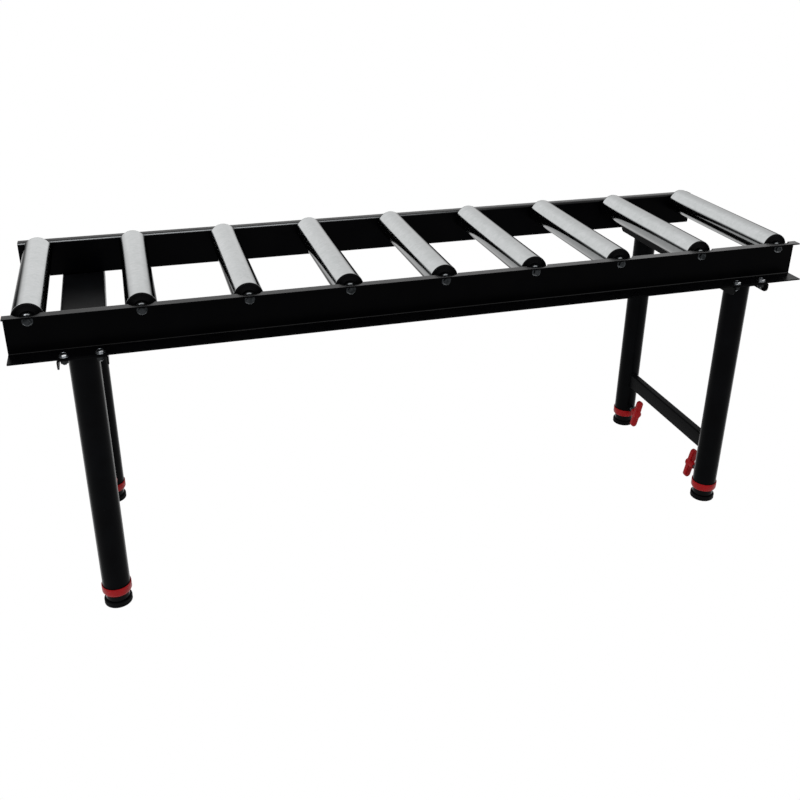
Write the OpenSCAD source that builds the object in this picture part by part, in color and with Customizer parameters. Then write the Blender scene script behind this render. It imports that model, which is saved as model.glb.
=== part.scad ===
// Roller stand: nine idle rollers between two steel rails, on four telescopic legs.
// Lengths are in millimetres. X runs along the rails, Y across them, Z is up, and the
// origin is on the floor under the middle of the table.

/* [Rails] */
// Length of each side rail
rail_len = 1700; // [1400:10:2400]
// Width of the frame over the outer faces of the two rail webs
frame_w = 430; // [360:1:600]
// Height of a rail
rail_h = 81; // [70:1:120]
// Thickness of the rail sheet
rail_t = 3; // [2:0.5:4]
// Width of the narrow top lip, from the outer face of the web
top_lip_w = 20; // [14:1:22]
// Width of the wide bottom lip, from the outer face of the web
bottom_lip_w = 42; // [38:1:60]
// Inside radius of the bends in the rail and the leg head
bend_r = 2; // [1:0.5:3]
// Radius of the arc notch in the front rail's top lip at each roller
notch_r = 26; // [22:1:34]
// Strip of top lip left in front of each notch
notch_strip = 2.2; // [1:0.1:5]

/* [Rollers] */
// Number of rollers
roller_count = 9; // [3:1:9]
// Distance from a rail end to the first roller axis
roller_margin = 42; // [36:1:120]
// Outer diameter of a roller tube
roller_d = 60; // [50:1:70]
// Wall of a roller tube
roller_wall = 2; // [1.5:0.5:3]
// Depth of the roller axes below the top of the rails
axle_drop = 15; // [14:1:20]
// Gap between a roller bearing and the rail web
end_gap = 2.5; // [1:0.5:6]

/* [Roller ends] */
// Diameter of the fixed axle
axle_d = 12; // [12:1:14]
// Thickness of the cap flange outside the tube
cap_flange_t = 3; // [2:0.5:5]
// Length of the cap inside the tube
cap_plug_l = 15; // [10:1:25]
// Thickness of the cap walls
cap_wall = 3; // [2:0.5:3.5]
// Step from the roller surface down to the rim of the cap
cap_step = 0.4; // [0.2:0.1:1]
// Depth of the ring-shaped recess in the cap face
cap_recess = 0.8; // [0.4:0.1:1.2]
// Outer diameter of the ball bearing
bearing_d = 28; // [26:1:30]
// Width of the ball bearing
bearing_w = 12; // [10:1:16]
// How far the bearing stands out of the cap face
bearing_out = 6.5; // [4:0.5:7]
// Outer diameter of the bearing inner ring
inner_ring_d = 17.6; // [16.6:0.1:19]
// Wall of the bearing outer ring beside the shield
outer_ring_t = 1.6; // [1:0.1:2.2]
// Depth of the shield in the bearing face
shield_in = 0.8; // [0.4:0.1:1.5]

/* [Axle bolts] */
// Thread diameter of the bolts in the axle ends
axle_bolt_d = 8; // [6:1:8]
// Diameter of the flange under the bolt head
axle_bolt_flange_d = 20; // [16:1:22]
// Thickness of that flange
axle_bolt_flange_t = 1.8; // [1:0.1:3]
// Distance across the flats of the hex head
axle_bolt_af = 13; // [10:1:15]
// Height of the hex head above the flange
axle_bolt_head_h = 5.5; // [4:0.5:8]
// Length of thread inside the axle
axle_bolt_grip = 16; // [10:1:24]
// Depth of the tapped hole beyond the bolt end
tap_runout = 4; // [1:1:8]

/* [Leg frames] */
// Distance from a rail end to the middle of the leg frame
leg_inset = 129; // [100:1:250]
// Width of the leg head channel along the rails
head_w = 91; // [80:1:140]
// Height of the leg head channel
head_h = 23; // [20:1:45]
// Thickness of the leg head sheet
head_t = 3; // [2:0.5:4]
// Radius of the lower corners at the ends of the leg head sides
head_corner_r = 12; // [3:1:15]
// Distance of the leg axes inwards from the outer face of the web
leg_in = 10; // [6:1:40]
// Outer diameter of the outer leg tube
leg_d = 57; // [52:1:64]
// Wall of the outer leg tube
leg_wall = 2.5; // [2:0.25:3]
// Length of the outer leg tube
leg_len = 562; // [500:1:900]
// Height of the stretcher above the lower end of the leg tube
stretcher_up = 94.5; // [80:0.5:300]
// Width of the box section of the stretcher
stretcher_w = 20; // [15:1:40]
// Height of the box section of the stretcher
stretcher_h = 40; // [25:1:60]
// Wall of the stretcher
stretcher_wall = 2; // [1.5:0.5:3]

/* [Leg bolts] */
// Thread diameter of the leg bolts
leg_bolt_d = 8; // [6:1:10]
// Gap between a leg bolt washer and the bend of the leg head
leg_bolt_side = 0; // [0:0.5:8]
// Gap between a leg bolt head and the edge of the bottom lip
leg_bolt_edge = 1; // [1:0.5:12]
// Diameter of the flange under the bolt head
leg_bolt_flange_d = 20; // [16:1:22]
// Thickness of that flange
leg_bolt_flange_t = 1.4; // [1:0.1:3]
// Distance across the flats of the low hex head
leg_bolt_af = 13; // [12:0.5:15]
// Height of the hex head above the flange
leg_bolt_head_h = 3.9; // [3:0.1:6]
// Length of thread that stands below the nut
leg_bolt_tip = 3; // [1:1:6]
// Diameter of the washer under the nut
washer_d = 17; // [14:1:19]
// Thickness of that washer
washer_t = 1.6; // [1:0.1:2.5]
// Distance across the flats of the nut
nut_af = 13; // [10:1:17]
// Height of the nut
nut_h = 6.5; // [5:0.5:8]

/* [Telescopic legs] */
// Radial gap between the inner and the outer leg tube
leg_play = 1; // [0.6:0.1:2.5]
// Wall of the inner leg tube
inner_wall = 2; // [1.5:0.5:3]
// Neck of inner tube that shows between the foot and the collar, legs in
neck_l = 17; // [5:1:60]
// Clearance above the inner tube under the leg head, legs in
top_gap = 0.4; // [0.3:0.1:2]
// How far the foot stands out around the inner tube
foot_rim = 4; // [2:0.5:20]
// Height of the foot
foot_h = 13; // [8:1:25]
// Length of the foot plug inside the tube
foot_plug_l = 22; // [10:1:40]
// Wall of the foot plug
foot_plug_wall = 3; // [2:0.5:5]
// Radius on the upper and lower rims of the foot
foot_round = 2; // [1:0.5:4]
// Wall of the collar around the leg tube
collar_wall = 2.2; // [1.5:0.1:4]
// Height of the collar
collar_h = 19; // [12:1:30]
// Thickness of the collar lip under the leg tube
collar_lip = 2; // [1.5:0.5:4]
// Chamfer on the lower rim of the collar
collar_chamfer = 1.8; // [1:0.1:3]

/* [Clamp knobs] */
// Height of the clamp stud above the top of the collar
stud_up = 10; // [10:1:25]
// Thread diameter of the clamp stud
stud_d = 10; // [8:1:10]
// Distance across the flats of the weld nut on the leg
weld_nut_af = 17; // [15:1:19]
// Height of the weld nut off the leg tube
weld_nut_h = 8; // [6:1:12]
// Distance of the knob from the weld nut
knob_gap = 11.5; // [2:0.5:15]
// Length of the knob along the stud
knob_l = 29; // [26:1:40]
// Span of the knob wing bar
knob_span = 78; // [56:1:80]
// Thickness of the wing bar
knob_bar_t = 13; // [10:1:18]
// Distance of the wing bar from the inner end of the knob
knob_bar_in = 12; // [6:1:13]
// Radius of the knob boss
knob_boss_r = 11; // [9:0.5:13]
// Radius of the rounded ends of the wing bar
knob_end_r = 8; // [6:0.5:9]
// Angle of the wing bar from upright, clamped
knob_tilt = 12; // [0:1:45]

/* [Fits] */
// Radial clearance of a shaft that turns in a bore
run_fit = 0.05; // [0.02:0.01:0.1]
// Radial clearance of a piece that is pressed or screwed in
seat_fit = 0.05; // [0.02:0.01:0.1]
// Radial clearance of a bolt in its hole
bolt_fit = 0.4; // [0.2:0.1:0.8]
// Radial clearance of the inner leg tube in the collar
slide_fit = 0.35; // [0.3:0.05:0.45]
// Radial gap between the bearing inner ring and the hole in the cap floor
cap_floor_gap = 1.5; // [0.5:0.1:2.5]

/* [Hidden] */
$fn = 64;
sides = [-1, 1];
// Cuts run this far past the faces that they open
over = 1;
// Heights, from the floor up
collar_z = foot_h + neck_l;
leg_z = collar_z + collar_lip;
rail_z = leg_z + leg_len + head_t;
rail_top_z = rail_z + rail_h;
axle_z = rail_top_z - axle_drop;
notch_z = rail_top_z - rail_t - bend_r;
stud_z = collar_z + collar_h + stud_up;
stretcher_z = leg_z + stretcher_up;
// Places along the table
frame_x = rail_len / 2 - leg_inset;
roller_pitch = (rail_len - 2 * roller_margin) / (roller_count - 1);
leg_bolt_x = head_w / 2 - head_t - bend_r - leg_bolt_side - washer_d / 2;
// Places across the table
web_out_y = frame_w / 2;
web_in_y = web_out_y - rail_t;
half_w = web_out_y + bottom_lip_w;
notch_y = web_out_y + top_lip_w - notch_strip - notch_r;
leg_bolt_y = half_w - leg_bolt_edge - leg_bolt_flange_d / 2;
leg_y = web_out_y - leg_in;
// Roller ends
cap_face_y = web_in_y - end_gap - bearing_out;
tube_end_y = cap_face_y - cap_flange_t;
bearing_y = cap_face_y + bearing_out - bearing_w;
roller_r = roller_d / 2;
// Radii in the leg, and the inner end of the knob
leg_r = leg_d / 2;
inner_r = leg_r - leg_wall - leg_play;
knob_y = leg_r + weld_nut_h + knob_gap;

ROLLERS = [for (i = [1:roller_count]) i];
ENDS = ["left", "right"];
ROWS = ["front", "rear"];
CORNERS = [for (e = [0, 1]) for (r = [0, 1]) [str(ROWS[r], "_", ENDS[e]), sides[e], sides[r]]];

function roller_x(i) = (i - (roller_count + 1) / 2) * roller_pitch;

// Turns a shape drawn along +Z so that it runs along Y, towards side s
module along_y(s) {
    rotate([-90 * s, 0, 0])
        children();
}

// The same child at both ends of every roller axis
module at_roller_ends() {
    for (i = ROLLERS)
        for (s = sides)
            translate([roller_x(i), 0, axle_z])
                along_y(s)
                    children();
}

// The same child at each leg bolt, standing on the underside of the leg head
module at_leg_bolts() {
    for (e = sides)
        for (b = sides)
            for (s = sides)
                translate([e * frame_x + b * leg_bolt_x, s * leg_bolt_y, rail_z - head_t])
                    children();
}

module ring(r_out, r_in, h) {
    difference() {
        cylinder(r = r_out, h = h);
        translate([0, 0, -over])
            cylinder(r = r_in, h = h + 2 * over);
    }
}

// A quarter of a bend in sheet of thickness t, in the corner where x is below 0 and y is above 0
module bend(t) {
    intersection() {
        difference() {
            circle(r = bend_r + t);
            circle(r = bend_r);
        }
        translate([-bend_r - t, 0])
            square(bend_r + t);
    }
}

// Cross-section of a rail: x is the distance outwards from the inner face of the web, y is the height
module rail_profile() {
    fold = bend_r + rail_t;
    translate([0, fold])
        square([rail_t, rail_h - 2 * fold]);
    translate([fold, rail_h - fold])
        bend(rail_t);
    translate([fold, rail_h - rail_t])
        square([rail_t + top_lip_w - fold, rail_t]);
    translate([fold, fold])
        mirror([0, 1])
            bend(rail_t);
    translate([fold, 0])
        square([rail_t + bottom_lip_w - fold, rail_t]);
}

// Only the front rail is notched. The notches are milled from above, down to where the web
// starts to bend.
module rail(s) {
    color("#16171a")
        difference() {
            translate([0, s * web_in_y, rail_z])
                rotate([90, 0, s * 90])
                    linear_extrude(rail_len, center = true)
                        rail_profile();
            if (s < 0)
                for (i = ROLLERS)
                    translate([roller_x(i), s * notch_y, notch_z])
                        cylinder(r = notch_r, h = rail_t + bend_r + over);
            for (i = ROLLERS)
                translate([roller_x(i), s * (web_in_y - over), axle_z])
                    along_y(s)
                        cylinder(d = axle_bolt_d + 2 * bolt_fit, h = rail_t + 2 * over);
            at_leg_bolts()
                translate([0, 0, head_t - over])
                    cylinder(d = leg_bolt_d + 2 * bolt_fit, h = rail_t + 2 * over);
        }
}

// Cross-section of a leg head: x is along the rails, y is the height below the rails
module head_profile() {
    fold = bend_r + head_t;
    translate([-head_w / 2 + fold, -head_t])
        square([head_w - 2 * fold, head_t]);
    for (m = [0, 1])
        mirror([m, 0]) {
            translate([-head_w / 2 + fold, -fold])
                bend(head_t);
            translate([-head_w / 2, -head_h])
                square([head_t, head_h - fold]);
        }
}

// Side view of what rounds off a lower corner of the leg head: x is across the table
module head_corner() {
    translate([half_w - head_corner_r, -head_h + head_corner_r])
        difference() {
            translate([0, -head_corner_r - over])
                square([head_corner_r + over, head_corner_r + over]);
            circle(r = head_corner_r);
        }
}

module leg_head(e) {
    color("#16171a")
        difference() {
            translate([e * frame_x, 0, rail_z])
                difference() {
                    rotate([90, 0, 0])
                        linear_extrude(2 * half_w, center = true)
                            head_profile();
                    for (m = [0, 1])
                        mirror([0, m, 0])
                            rotate([90, 0, 90])
                                linear_extrude(2 * head_w, center = true)
                                    head_corner();
                }
            at_leg_bolts()
                translate([0, 0, -over])
                    cylinder(d = leg_bolt_d + 2 * bolt_fit, h = head_t + 2 * over);
        }
}

module leg_tube(e, s) {
    color("#16171a")
        translate([e * frame_x, s * leg_y, leg_z])
            difference() {
                ring(leg_r, leg_r - leg_wall, leg_len);
                translate([0, 0, stud_z - leg_z])
                    along_y(-s)
                        cylinder(d = stud_d + 2 * bolt_fit, h = leg_d);
            }
}

// The ends of the box section are cut to fit the round leg tubes
module stretcher(e) {
    hollow = [stretcher_w - 2 * stretcher_wall, stretcher_h - 2 * stretcher_wall];
    color("#16171a")
        difference() {
            translate([e * frame_x, 0, stretcher_z + stretcher_h / 2])
                rotate([90, 0, 0])
                    linear_extrude(2 * leg_y, center = true)
                        difference() {
                            square([stretcher_w, stretcher_h], center = true);
                            square(hollow, center = true);
                        }
            for (s = sides)
                translate([e * frame_x, s * leg_y, stretcher_z - over])
                    cylinder(r = leg_r, h = stretcher_h + 2 * over);
        }
}

module collar(e, s) {
    collar_r = leg_r + collar_wall;
    color("#c8161d")
        translate([e * frame_x, s * leg_y, collar_z])
            rotate_extrude()
                polygon([
                    [inner_r + slide_fit, 0],
                    [collar_r - collar_chamfer, 0],
                    [collar_r, collar_chamfer * 2],
                    [collar_r, collar_h],
                    [leg_r + collar_wall / 2, collar_h],
                    [leg_r + seat_fit, collar_h - collar_wall / 2],
                    [leg_r + seat_fit, collar_lip],
                    [inner_r + slide_fit, collar_lip]
                ]);
}

module inner_leg(e, s) {
    color("#16171a")
        translate([e * frame_x, s * leg_y, foot_h])
            ring(inner_r, inner_r - inner_wall, neck_l + collar_lip + leg_len - top_gap);
}

// Half section of a foot: a disc with rounded rims and a hollow plug on top of it
module foot_section() {
    foot_r = inner_r + foot_rim;
    plug_r = inner_r - inner_wall - seat_fit;
    square([foot_r - foot_round, foot_h]);
    translate([0, foot_round])
        square([foot_r, foot_h - 2 * foot_round]);
    for (z = [foot_round, foot_h - foot_round])
        translate([foot_r - foot_round, z])
            circle(r = foot_round);
    translate([plug_r - foot_plug_wall, 0])
        square([foot_plug_wall, foot_h + foot_plug_l]);
}

module foot(e, s) {
    color("#1c1c1e")
        translate([e * frame_x, s * leg_y, 0])
            rotate_extrude()
                foot_section();
}

// Outline of the wing bar: it tapers from the boss to two round ends
module wing_outline() {
    reach = knob_span / 2 - knob_end_r;
    for (m = [0, 1])
        mirror([m, 0]) {
            translate([reach, 0])
                circle(r = knob_end_r);
            polygon([
                [-over, 0.9 * knob_boss_r],
                [reach, 0.95 * knob_end_r],
                [reach, -0.95 * knob_end_r],
                [-over, -0.9 * knob_boss_r]
            ]);
        }
}

// Clamp knob with its stud, drawn along +Z from the leg axis outwards
module clamp_knob(e, s) {
    stud_in = inner_r + slide_fit;
    color("#c8161d")
        translate([e * frame_x, s * leg_y, stud_z])
            along_y(-s) {
                translate([0, 0, knob_y])
                    difference() {
                        union() {
                            cylinder(r = knob_boss_r, h = knob_l);
                            translate([0, 0, knob_bar_in])
                                rotate(90 - s * knob_tilt)
                                    linear_extrude(knob_bar_t)
                                        wing_outline();
                        }
                        translate([0, 0, -over])
                            cylinder(d = stud_d + 2 * seat_fit, h = knob_l / 2 + over);
                    }
                translate([0, 0, stud_in])
                    cylinder(d = stud_d, h = knob_y + knob_l / 2 - seat_fit - stud_in);
            }
}

module roller_tube(i) {
    color("#c6cacb")
        translate([roller_x(i), -tube_end_y, axle_z])
            along_y(1)
                ring(roller_r, roller_r - roller_wall, 2 * tube_end_y);
}

// Half section of a cap: x is the radius, y is the distance outwards from the end of the tube
module cap_section() {
    plug_r = roller_r - roller_wall - seat_fit;
    pocket_r = bearing_d / 2 + seat_fit;
    floor_r = inner_ring_d / 2 + cap_floor_gap;
    floor_y = bearing_y - tube_end_y;
    hub_r = pocket_r + cap_wall;
    difference() {
        union() {
            translate([floor_r, 0])
                square([roller_r - cap_step - floor_r, cap_flange_t]);
            translate([plug_r - cap_wall, -cap_plug_l])
                square([cap_wall, cap_plug_l + cap_flange_t]);
            translate([floor_r, floor_y - cap_wall])
                square([hub_r - floor_r, cap_flange_t + cap_wall - floor_y]);
        }
        translate([0, floor_y])
            square([pocket_r, cap_flange_t - floor_y + over]);
        translate([hub_r, cap_flange_t - cap_recess])
            square([plug_r - cap_wall - hub_r, cap_recess + over]);
    }
}

// Both caps of one roller
module roller_caps(i) {
    color("#17181a")
        for (s = sides)
            translate([roller_x(i), 0, axle_z])
                along_y(s)
                    translate([0, 0, tube_end_y])
                        rotate_extrude()
                            cap_section();
}

// Outer rings and shields of one roller's two bearings
module roller_bearings(i) {
    color("#b9bcc0")
        for (s = sides)
            translate([roller_x(i), 0, axle_z])
                along_y(s)
                    translate([0, 0, bearing_y])
                        difference() {
                            ring(bearing_d / 2, inner_ring_d / 2 + run_fit, bearing_w);
                            for (z = [-over, bearing_w - shield_in])
                                translate([0, 0, z])
                                    cylinder(r = bearing_d / 2 - outer_ring_t, h = shield_in + over);
                        }
}

module bearing_inner_rings() {
    color("#b9bcc0")
        at_roller_ends()
            translate([0, 0, bearing_y])
                ring(inner_ring_d / 2, axle_d / 2 + seat_fit, bearing_w);
}

module roller_axles() {
    tap_l = axle_bolt_grip + tap_runout;
    color("#9a9da1")
        for (i = ROLLERS)
            translate([roller_x(i), 0, axle_z])
                rotate([90, 0, 0])
                    difference() {
                        cylinder(d = axle_d, h = 2 * web_in_y, center = true);
                        for (s = sides)
                            translate([0, 0, s * (web_in_y - tap_l / 2 + 0.5)])
                                cylinder(d = axle_bolt_d + 2 * seat_fit, h = tap_l + 1, center = true);
                    }
}

module axle_bolts() {
    color("#c9ccd0")
        at_roller_ends() {
            translate([0, 0, web_in_y - axle_bolt_grip])
                cylinder(d = axle_bolt_d, h = axle_bolt_grip + rail_t + axle_bolt_flange_t);
            translate([0, 0, web_out_y])
                cylinder(d = axle_bolt_flange_d, h = axle_bolt_flange_t);
            translate([0, 0, web_out_y + axle_bolt_flange_t])
                cylinder(d = axle_bolt_af / cos(30), h = axle_bolt_head_h, $fn = 6);
        }
}

module weld_nuts() {
    color("#16171a")
        for (c = CORNERS)
            translate([c[1] * frame_x, c[2] * leg_y, stud_z])
                along_y(-c[2])
                    difference() {
                        cylinder(d = weld_nut_af / cos(30), h = leg_r + weld_nut_h, $fn = 6);
                        translate([0, 0, -over])
                            cylinder(d = stud_d + 2 * seat_fit, h = leg_d);
                        rotate([90, 0, 0])
                            cylinder(r = leg_r, h = 2 * weld_nut_af, center = true);
                    }
}

// Flanged bolt from above through the rail lip and the leg head
module leg_bolts() {
    below = washer_t + nut_h + leg_bolt_tip;
    grip = head_t + rail_t;
    color("#c9ccd0")
        at_leg_bolts() {
            translate([0, 0, -below])
                cylinder(d = leg_bolt_d, h = below + grip + leg_bolt_flange_t);
            translate([0, 0, grip])
                cylinder(d = leg_bolt_flange_d, h = leg_bolt_flange_t);
            translate([0, 0, grip + leg_bolt_flange_t])
                cylinder(d = leg_bolt_af / cos(30), h = leg_bolt_head_h, $fn = 6);
        }
}

module leg_washers() {
    color("#c9ccd0")
        at_leg_bolts()
            translate([0, 0, -washer_t])
                ring(washer_d / 2, leg_bolt_d / 2 + bolt_fit, washer_t);
}

module leg_nuts() {
    color("#c9ccd0")
        at_leg_bolts()
            translate([0, 0, -washer_t - nut_h])
                difference() {
                    cylinder(d = nut_af / cos(30), h = nut_h, $fn = 6);
                    translate([0, 0, -over])
                        cylinder(d = leg_bolt_d + 2 * seat_fit, h = nut_h + 2 * over);
                }
}

rail(-1);  // front_rail
rail(1);  // rear_rail
for (e = [0, 1]) {
    leg_head(sides[e]);
    stretcher(sides[e]);
}
for (c = CORNERS) {
    leg_tube(c[1], c[2]);
    collar(c[1], c[2]);
    inner_leg(c[1], c[2]);
    foot(c[1], c[2]);
    clamp_knob(c[1], c[2]);
}
for (i = ROLLERS) {
    roller_tube(i);
    roller_caps(i);
    roller_bearings(i);
}
roller_axles();
axle_bolts();
bearing_inner_rings();
weld_nuts();
leg_bolts();
leg_washers();
leg_nuts();
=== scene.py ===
"""Roller table with nine rollers on four telescopic legs: its finished look.

Shapes are drawn in millimetres and written in metres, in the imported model's own frame:
+X along the side rails, +Y across the table from the front rail to the rear one, +Z up.
"""
import math

import bmesh
import bpy
from mathutils import Matrix, Vector


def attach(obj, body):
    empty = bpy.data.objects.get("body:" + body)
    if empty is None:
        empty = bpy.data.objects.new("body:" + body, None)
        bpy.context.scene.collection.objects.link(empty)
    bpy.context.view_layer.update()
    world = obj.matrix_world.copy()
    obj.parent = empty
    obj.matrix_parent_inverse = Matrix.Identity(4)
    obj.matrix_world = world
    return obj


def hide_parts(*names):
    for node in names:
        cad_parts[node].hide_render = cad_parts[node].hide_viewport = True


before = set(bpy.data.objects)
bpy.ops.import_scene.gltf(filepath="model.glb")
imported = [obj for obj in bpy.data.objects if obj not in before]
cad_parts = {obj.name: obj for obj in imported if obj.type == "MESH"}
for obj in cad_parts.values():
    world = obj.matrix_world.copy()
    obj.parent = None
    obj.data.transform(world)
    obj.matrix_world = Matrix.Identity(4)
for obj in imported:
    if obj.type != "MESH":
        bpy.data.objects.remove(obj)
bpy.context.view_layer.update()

MM = 0.001
SIDES = (-1, 1)  # front and rear

# Rollers
ROLLERS = range(1, 10)
ROLLER_PITCH = 202.0
ROLLER_X = [(i - 5) * ROLLER_PITCH for i in ROLLERS]
AXLE_Z = 663.0
ROLLER_R, ROLLER_BORE_R = 30.0, 28.0
TUBE_END = 200.0
CAP_FACE = 203.0
BEARING_IN, BEARING_OUT = 197.5, 209.5
AXLE_R = 6.0

# Side rails
WEB_IN, WEB_OUT = 212.0, 215.0
RAIL_FLOOR_TOP = 600.0
SHEET_EDGE = 0.5

# Leg frames
LEG_X, LEG_Y = 721.0, 205.0
LEG_R, LEG_BORE_R = 28.5, 26.0
LEG_FOOT_Z, LEG_TOP_Z = 32.0, 594.0
STRETCHER_LOW, STRETCHER_HIGH, STRETCHER_HALF = 126.5, 166.5, 10.0
STRETCHER_CORNER, STRETCHER_WALL = 3.5, 2.0
STRETCHER_MID = (STRETCHER_LOW + STRETCHER_HIGH) / 2
LEG_BOLT_X, LEG_BOLT_Y = 32.0, 246.0
BEAD_R, RIPPLE = 2.3, 1.9

# Fasteners, all about 13 mm across their flats but for the weld nuts
HEX_FLATS, HEX_FACE_R = 13.0, 6.1
HEX_CHAMFER = 0.58
HEAD_STEPS = 72
WASHER_LOW, NUT_LOW, BOLT_TIP = 592.4, 585.9, 582.9

# Telescopic legs and their clamps
INNER_R, INNER_BORE_R, INNER_TOP_Z = 25.0, 23.0, 593.6
FOOT_R, FOOT_H, FLUTE_DEPTH = 29.0, 13.0, 0.35
COLLAR_R, COLLAR_LOW, COLLAR_HIGH = 30.7, 30.0, 49.0
STUD_Z, STUD_R, STUD_IN, STUD_OUT = 59.0, 5.0, 25.35, 62.45
NUT_FACE = 36.5
KNOB_IN, KNOB_OUT, BAR_IN, BAR_OUT = 48.0, 77.0, 60.0, 73.0
KNOB_HALF_SPAN, KNOB_BOSS_R, KNOB_END_R, KNOB_TILT = 39.0, 11.0, 8.0, 12.0
WING_WAIST, WING_TIP = 9.4, 8.6

# Ends of the table with their legs' X, and the four legs with their axis and their side
ENDS = (("left", -LEG_X), ("right", LEG_X))
LEGS = [(f"{row}_{end}", x, side * LEG_Y, side)
        for row, side in (("front", -1), ("rear", 1)) for end, x in ENDS]

# The photograph's viewpoint, fitted to the rails, rollers and feet; its turns are in radians
CAMERA_AT = (-0.61796, -1.91897, 1.33506)
CAMERA_TO_RIGHT, CAMERA_DOWN, CAMERA_ROLL = 0.31123, 0.42716, 0.01613
SENSOR_MM, LENS_MM = 36.0, 42.08
SHIFT_X, SHIFT_Y = -0.0163, -0.0658


def linear(code):
    """Turns an sRGB hex colour into the linear colour that the shaders take."""
    parts = [int(code[i:i + 2], 16) / 255 for i in (1, 3, 5)]
    return [p / 12.92 if p <= 0.04045 else ((p + 0.055) / 1.055) ** 2.4 for p in parts] + [1.0]


def grey(level):
    """A linear grey, for masks."""
    return (level, level, level, 1.0)


def add(tree, kind, inputs=None, stops=(), **settings):
    """Adds one node; an input is a value, or the output socket that feeds it.

    stops are the positions and colours of a colour ramp, in rising order.
    """
    made = tree.nodes.new(kind)
    for name, value in settings.items():
        setattr(made, name, value)
    for k, (position, colour) in enumerate(stops):
        stop = made.color_ramp.elements[k] if k < 2 else made.color_ramp.elements.new(position)
        stop.position, stop.color = position, colour
    for socket, value in (inputs or {}).items():
        if isinstance(value, bpy.types.NodeSocket):
            tree.links.new(value, made.inputs[socket])
        else:
            made.inputs[socket].default_value = value
    return made


def new_finish(name, **same_all_over):
    """A material with its shader's even values set, its node tree and its Object coordinates."""
    material = bpy.data.materials.new(name)
    material.use_nodes = True
    tree = material.node_tree
    shader = tree.nodes["Principled BSDF"]
    for socket, value in same_all_over.items():
        shader.inputs[socket.replace("_", " ")].default_value = value
    return material, tree, shader, add(tree, "ShaderNodeTexCoord").outputs["Object"]


def lay_on(tree, shader, colour, tone, roughness, relief, strength, depth_mm, tones=(0.3, 0.7)):
    """Gives the shader its colour, a roughness that follows one pattern and the relief of another."""
    sheen = add(tree, "ShaderNodeMapRange", {"Value": tone, "From Min": tones[0], "From Max": tones[1],
                                             "To Min": roughness[0], "To Max": roughness[1]})
    bump = add(tree, "ShaderNodeBump", {"Height": relief, "Strength": strength,
                                        "Distance": depth_mm * MM})
    tree.links.new(colour, shader.inputs["Base Color"])
    tree.links.new(sheen.outputs["Result"], shader.inputs["Roughness"])
    tree.links.new(bump.outputs["Normal"], shader.inputs["Normal"])


def rail_shine_and_painted_highlight(tree, place):
    """Where the rails' coat shines most, and where a pale line is painted on as a highlight.

    Both are set after the photograph's light, not by the lamps. It shines most on the turn of the
    bends, less on the flat lips, and least low down, at the left end and close to the rear web. A
    pale line on the left part of the rear rail's top bend is a painted highlight. The places are in
    metres.
    """
    web_foot, web_top = 0.605, 0.67
    at_rear_web, clear_of_web = 0.22, 0.228
    left_end, full_shine = -0.85, 0.4
    highlight_most, highlight_none = -0.3, 0.3
    rear_rail = 0.2
    top_bend = (0.0, -0.707, 0.707)
    spot = add(tree, "ShaderNodeSeparateXYZ", {"Vector": place})
    normal = add(tree, "ShaderNodeNewGeometry").outputs["Normal"]
    faces = add(tree, "ShaderNodeSeparateXYZ", {"Vector": normal})
    upward = add(tree, "ShaderNodeValToRGB", {"Fac": faces.outputs["Z"]},
                 stops=((0.05, grey(0)), (0.4, grey(1)), (0.8, grey(1)), (1.0, grey(0.33))))
    height = add(tree, "ShaderNodeMapRange", {"Value": spot.outputs["Z"], "From Min": web_foot,
                                              "From Max": web_top, "To Min": 0.22, "To Max": 1.0})
    above = add(tree, "ShaderNodeMath", {0: upward.outputs["Color"], 1: height.outputs["Result"]},
                operation="MULTIPLY")
    rear_lip = add(tree, "ShaderNodeMapRange", {"Value": spot.outputs["Y"], "From Min": at_rear_web,
                                                "From Max": clear_of_web, "To Min": 0.15,
                                                "To Max": 1.0})
    front = add(tree, "ShaderNodeMath", {0: spot.outputs["Y"], 1: 0.0}, operation="LESS_THAN")
    outer = add(tree, "ShaderNodeMath", {0: rear_lip.outputs["Result"], 1: front.outputs["Value"]},
                operation="MAXIMUM")
    even = add(tree, "ShaderNodeMath", {0: above.outputs["Value"], 1: outer.outputs["Value"]},
               operation="MULTIPLY")
    end = add(tree, "ShaderNodeMapRange", {"Value": spot.outputs["X"], "From Min": left_end,
                                           "From Max": full_shine, "To Min": 0.3, "To Max": 1.0})
    shine = add(tree, "ShaderNodeMath", {0: even.outputs["Value"], 1: end.outputs["Result"]},
                operation="MULTIPLY")
    # Painted highlight: a thin pale line along the rear rail's top bend, strongest at the left
    bend = add(tree, "ShaderNodeVectorMath", {0: normal, 1: top_bend}, operation="DOT_PRODUCT")
    line = add(tree, "ShaderNodeMapRange", {"Value": bend.outputs["Value"], "From Min": 0.95,
                                            "From Max": 0.995})
    rear = add(tree, "ShaderNodeMath", {0: spot.outputs["Y"], 1: rear_rail}, operation="GREATER_THAN")
    left = add(tree, "ShaderNodeMapRange", {"Value": spot.outputs["X"], "From Min": highlight_most,
                                            "From Max": highlight_none, "To Min": 0.8, "To Max": 0.0})
    there = add(tree, "ShaderNodeMath", {0: rear.outputs["Value"], 1: left.outputs["Result"]},
                operation="MULTIPLY")
    painted_highlight = add(tree, "ShaderNodeMath", {0: line.outputs["Result"], 1: there.outputs["Value"]},
                 operation="MULTIPLY")
    return shine.outputs["Value"], painted_highlight.outputs["Value"]


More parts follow.
